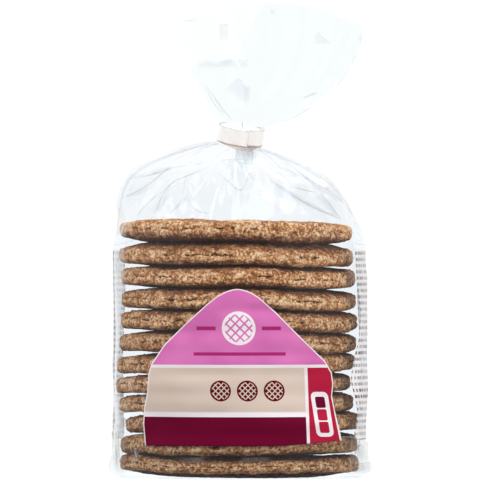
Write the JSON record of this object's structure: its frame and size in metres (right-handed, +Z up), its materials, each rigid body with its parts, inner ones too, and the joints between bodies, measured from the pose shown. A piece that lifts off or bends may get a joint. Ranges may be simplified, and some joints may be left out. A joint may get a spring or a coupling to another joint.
{
  "type": "bag of stroopwafels",
  "caption": "Clear gusseted film bag holding a stack of caramel waffle biscuits, with a bell-shaped front label and a tape round its gathered neck.",
  "frame": {"origin": "centre of the footprint, on the surface that the bag stands on", "axes": "+Z up through the stack, the labelled front faces -Y, +X to the right as seen from the front"},
  "size_m": [0.1032, 0.0966, 0.1876],
  "materials": {
    "clear_film": "clear glossy polypropylene film",
    "printed_label": "satin printed film",
    "tape": "matt white paper tape",
    "printed_side": "white print with plain grey rules, on film",
    "baked_waffle": "baked, crumbly wafer",
    "caramel": "sticky dark caramel"
  },
  "bodies": {
    "root": {"filled_bag": "clear_film", "front_label": "printed_label", "neck_tape": "tape"}
  },
  "joints": []
}
